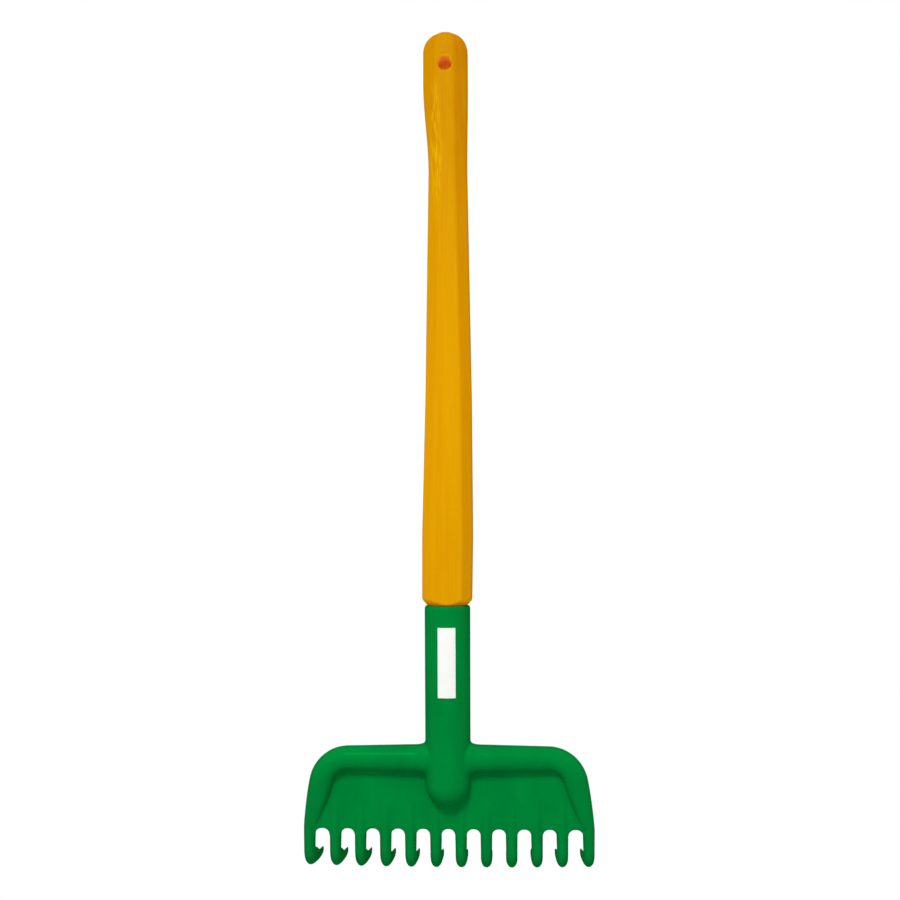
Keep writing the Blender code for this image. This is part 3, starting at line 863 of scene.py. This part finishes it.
def handle_ring(bm, handle, z, limit, scale=1.0):
    """Edges of one section: an eased octagon that a round limit cuts, at a world height."""
    rise = z - HEAD_HIGH.z
    flat, corner, bow = handle_section(handle, rise)
    grip_shading = (rise - handle.middle_rise) / (handle.grip_rise - handle.middle_rise)
    sharpness = blend(SHAFT_SHARPNESS, GRIP_SHARPNESS, grip_shading)
    slant = math.sqrt(0.5)
    full = (1 + 2 * (flat * slant / corner) ** sharpness) ** (1 / sharpness)
    ring = bmesh.ops.create_circle(bm, segments=HANDLE_POINTS, radius=1)["verts"]
    for vert in ring:
        x, y = vert.co.x, vert.co.y
        sides = [abs(x) / flat, abs(y) / flat, abs(x + y) * slant / corner, abs(x - y) * slant / corner]
        radius = sum(side**sharpness for side in sides) ** (-1 / sharpness) * full * scale
        x, y = x * radius, y * radius * handle.depth_ratio
        trim = (1 + (math.hypot(x, y) / limit) ** LIMIT_SHARPNESS) ** (-1 / LIMIT_SHARPNESS)
        vert.co = Vector((bow + x * trim, y * trim, z))
    return edges_of(ring)


def handle_rings(bm, handle):
    """Sections from the tenon's end, up the turned shoulder and the shaft, to the flat on top of the dome."""
    shoulder = HEAD_HIGH.z + handle.shoulder_gap
    tenon = handle.tenon_diameter / 2
    rings = [
        handle_ring(bm, handle, HANDLE_LOW.z, tenon - handle.tenon_chamfer),
        handle_ring(bm, handle, HANDLE_LOW.z + handle.tenon_chamfer, tenon),
        handle_ring(bm, handle, shoulder, tenon),
    ]
    wide = handle.shaft_width
    foot = handle.shoulder_diameter / 2
    steepness = math.tan(handle.shoulder_slope)
    slope_height = (wide * SLOPE_REACH - foot) * steepness
    for i in range(SLOPE_STEPS + 1):
        rise = slope_height * i / SLOPE_STEPS
        rings.append(handle_ring(bm, handle, shoulder + rise, foot + rise / steepness))
    start = shoulder + slope_height
    dome = HANDLE_HIGH.z - handle.grip_width / 2
    for i in range(1, SHAFT_STEPS + 1):
        rings.append(handle_ring(bm, handle, start + (dome - start) * i / SHAFT_STEPS, wide))
    for i in range(1, DOME_STEPS + 1):
        turned = DOME_TURN * i / DOME_STEPS
        z = dome + (HANDLE_HIGH.z - dome) * math.sin(turned) / math.sin(DOME_TURN)
        rings.append(handle_ring(bm, handle, z, wide, math.cos(turned)))
    return rings


def hole_cutter(bore, ease, face):
    """A body that cuts the hang hole with eased mouths, through a grip whose faces lie at -face and face."""
    profile = [
        (0, -face - ease),
        (bore + 2 * ease, -face - ease),
        (bore, -face + ease),
        (bore, face - ease),
        (bore + 2 * ease, face + ease),
        (0, face + ease),
    ]
    bm = bmesh.new()
    turn(bm, profile, BORE_STEPS, BACK)
    return piece_from(bm, "hole_cutter")


class RAKE_OT_handle(bpy.types.Operator):
    """Shape the handle: tenon, turned shoulder, bevelled shaft, rounded grip and hang hole"""

    bl_idname = "rake.handle"
    bl_label = "Wooden handle"

    def execute(self, context):
        handle = context.scene.rake_handle
        bm = bmesh.new()
        skin(bm, handle_rings(bm, handle))
        wood = piece_from(bm, "stained_handle", stained_beech(handle), pooled_stain(handle.bore_colour))
        bore = handle.hole_diameter / 2
        face = handle.grip_width / 2 * handle.depth_ratio
        cut(wood, hole_cutter(bore, handle.hole_ease, face))
        # The bore holds the pooled stain, and its eased mouths do not
        for polygon in wood.data.polygons:
            inside = math.hypot(polygon.center.x, polygon.center.z) < bore + BORE_MARGIN
            if inside and abs(polygon.center.y) < face:
                polygon.material_index = 1
        wood.data.set_sharp_from_angle(angle=WOOD_CREASE)
        stand_for(wood, "wooden_handle")
        return {"FINISHED"}


class RAKE_OT_screw(bpy.types.Operator):
    """Turn the pan-head screw and cut its cross recess"""

    bl_idname = "rake.screw"
    bl_label = "Fixing screw"

    def execute(self, context):
        screw = context.scene.rake_screw
        centre = Vector((0, 0, (SCREW_LOW.z + SCREW_HIGH.z) / 2))
        seat = SCREW_HIGH.y - screw.head_height
        profile = [(0, SCREW_LOW.y), (screw.shank / 2, SCREW_LOW.y + screw.point), (screw.shank / 2, seat)]
        for i in range(DOME_STEPS):
            turned = math.pi / 2 * i / DOME_STEPS
            radius = screw.head / 2 * math.cos(turned) ** PAN_ROUNDING
            profile.append((radius, seat + screw.head_height * math.sin(turned)))
        profile.append((0, SCREW_HIGH.y))
        bm = bmesh.new()
        turn(bm, profile, SCREW_STEPS, BACK, centre)
        piece = piece_from(bm, "zinc_screw", zinc_plate(screw.colour))
        for size in ((screw.cross_length, screw.cross_width), (screw.cross_width, screw.cross_length)):
            bm = bmesh.new()
            shape = Matrix.Diagonal((size[0], 2 * screw.cross_depth, size[1], 1))
            place = Matrix.Translation(Vector((0, SCREW_HIGH.y, centre.z)))
            bmesh.ops.create_cube(bm, size=1, matrix=place @ shape)
            cut(piece, piece_from(bm, "cross_cutter"))
        piece.data.set_sharp_from_angle(angle=SMALL_CREASE)
        stand_for(piece, "fixing_screw")
        return {"FINISHED"}


class RAKE_OT_label(bpy.types.Operator):
    """Lay the blank label round the front of the socket"""

    bl_idname = "rake.label"
    bl_label = "Blank label"

    def execute(self, context):
        head = context.scene.rake_head
        label = context.scene.rake_label
        foot = HEAD_HIGH.z - head.rim_height
        bm = bmesh.new()
        bmesh.ops.create_grid(bm, x_segments=LABEL_COLUMNS, y_segments=LABEL_ROWS, size=0.5)
        width = LABEL_HIGH.x - LABEL_LOW.x
        # The grid measures one by one until it is laid round the socket
        for vert in bm.verts:
            z = (LABEL_LOW.z + LABEL_HIGH.z) / 2 + vert.co.y * (LABEL_HIGH.z - LABEL_LOW.z)
            radius = socket_radius(head, z - foot) + label.lift
            turned = vert.co.x * 2 * math.asin(width / 2 / radius)
            vert.co = Vector((radius * math.sin(turned), -radius * math.cos(turned), z))
        bmesh.ops.recalc_face_normals(bm, faces=bm.faces)
        bmesh.ops.solidify(bm, geom=list(bm.faces), thickness=label.thickness)
        piece = piece_from(bm, "blank_label", label_vinyl(label.colour))
        piece.data.set_sharp_from_angle(angle=SMALL_CREASE)
        stand_for(piece, "label")
        return {"FINISHED"}


def seen_directly(tree):
    """1 for rays from the camera or from a reflection or a clear surface, which see a white studio."""
    path = tree.nodes.new("ShaderNodeLightPath").outputs
    either = calculate(tree, "MAXIMUM", path["Is Camera Ray"], path["Is Glossy Ray"])
    return calculate(tree, "MAXIMUM", either, path["Is Transmission Ray"])


def pale_floor(colour):
    """A matt floor that fades to the white of the studio away from the rake, where it is seen directly."""
    made, tree, shader = new_material("pale_floor")
    fill(tree, shader, {"Base Color": colour, "Roughness": 0.9})
    away = distance(tree, (0, 0, 0), (1, 1, 0))
    faded = calculate(tree, "MULTIPLY", spread(tree, away, FLOOR_PALE, FLOOR_WHITE), seen_directly(tree))
    glow = add(tree, "ShaderNodeEmission", {"Color": WHITE, "Strength": 1.0}).outputs[0]
    both = add(tree, "ShaderNodeMixShader", {0: faded, 1: shader.outputs[0], 2: glow}).outputs[0]
    fill(tree, tree.nodes["Material Output"], {"Surface": both})
    return made


def white_studio(ambient):
    """A world that is white where it is seen directly, and lights the rake softly, most from level."""
    made = bpy.data.worlds.new("white_studio")
    made.use_nodes = True
    tree = made.node_tree
    tilt = calculate(tree, "ABSOLUTE", axis_of(tree, "Generated", "Z"))
    strength = spread(tree, tilt, LEVEL_TILT, STEEP_TILT, LEVEL_LIGHT * ambient, STEEP_LIGHT * ambient)
    light = tree.nodes["Background"]
    fill(tree, light, {"Color": WHITE, "Strength": strength})
    glow = add(tree, "ShaderNodeBackground", {"Color": WHITE, "Strength": 1.0}).outputs[0]
    both = add(tree, "ShaderNodeMixShader", {0: seen_directly(tree), 1: light.outputs[0], 2: glow}).outputs[0]
    fill(tree, tree.nodes["World Output"], {"Surface": both})
    return made


def turn_towards(place, target):
    """The turn of a lamp or camera at a place that looks at a target."""
    return (target - place).to_track_quat("-Z", "Y")


def key_lamp(stage):
    """The lamp above the camera, which looks at the head."""
    light = bpy.data.lights.new("key", "AREA")
    light.size = stage.key_size
    light.energy = stage.key_power
    light.spread = stage.key_spread
    lamp = bpy.data.objects.new("key", light)
    lamp.location = stage.key_place
    head = Vector((0, 0, (HEAD_LOW.z + HEAD_HIGH.z) / 2))
    lamp.rotation_euler = turn_towards(lamp.location, head).to_euler()
    return lamp


def front_camera(stage):
    """The camera in front of the rake, a little to its right."""
    camera = bpy.data.objects.new("camera", bpy.data.cameras.new("camera"))
    camera.data.lens = stage.lens
    camera.location = stage.camera
    look = turn_towards(camera.location, Vector(stage.aim)).to_matrix()
    camera.rotation_euler = (look @ Matrix.Rotation(-stage.roll, 3, "Z")).to_euler()
    return camera


class RAKE_OT_stage(bpy.types.Operator):
    """Set the floor, the white studio, the lamp and the camera"""

    bl_idname = "rake.stage"
    bl_label = "Stage"

    def execute(self, context):
        scene = context.scene
        stage = scene.rake_stage
        scene.view_settings.view_transform = "Standard"
        bm = bmesh.new()
        place = Matrix.Translation(UP * (HEAD_LOW.z - stage.floor_drop))
        bmesh.ops.create_grid(bm, x_segments=1, y_segments=1, size=stage.floor_size, matrix=place)
        floor = piece_from(bm, "floor", pale_floor(stage.floor_colour))
        scene.world = white_studio(stage.ambient)
        scene.collection.objects.link(key_lamp(stage))
        scene.camera = front_camera(stage)
        scene.collection.objects.link(scene.camera)
        return {"FINISHED"}


class RAKE_PT_panel(bpy.types.Panel):
    """Sizes, colours and building steps of the rake"""

    bl_idname = "RAKE_PT_panel"
    bl_label = "Kids' rake"
    bl_space_type = "VIEW_3D"
    bl_region_type = "UI"
    bl_category = "Rake"

    def draw(self, context):
        for name, group, operator in STEPS:
            box = self.layout.box()
            box.operator(operator.bl_idname)
            settings = getattr(context.scene, name)
            for key in group.__annotations__:
                box.prop(settings, key)


STEPS = (
    ("rake_stage", StageSettings, RAKE_OT_stage),
    ("rake_handle", HandleSettings, RAKE_OT_handle),
    ("rake_head", HeadSettings, RAKE_OT_head),
    ("rake_screw", ScrewSettings, RAKE_OT_screw),
    ("rake_label", LabelSettings, RAKE_OT_label),
)


def register():
    for name, group, operator in STEPS:
        bpy.utils.register_class(group)
        bpy.utils.register_class(operator)
        setattr(bpy.types.Scene, name, bpy.props.PointerProperty(type=group))
    bpy.utils.register_class(RAKE_PT_panel)


def unregister():
    bpy.utils.unregister_class(RAKE_PT_panel)
    for name, group, operator in reversed(STEPS):
        delattr(bpy.types.Scene, name)
        bpy.utils.unregister_class(operator)
        bpy.utils.unregister_class(group)


def main():
    register()
    bpy.ops.rake.stage()
    bpy.ops.rake.handle()
    bpy.ops.rake.head()
    bpy.ops.rake.screw()
    bpy.ops.rake.label()


if __name__ == "__main__":
    main()
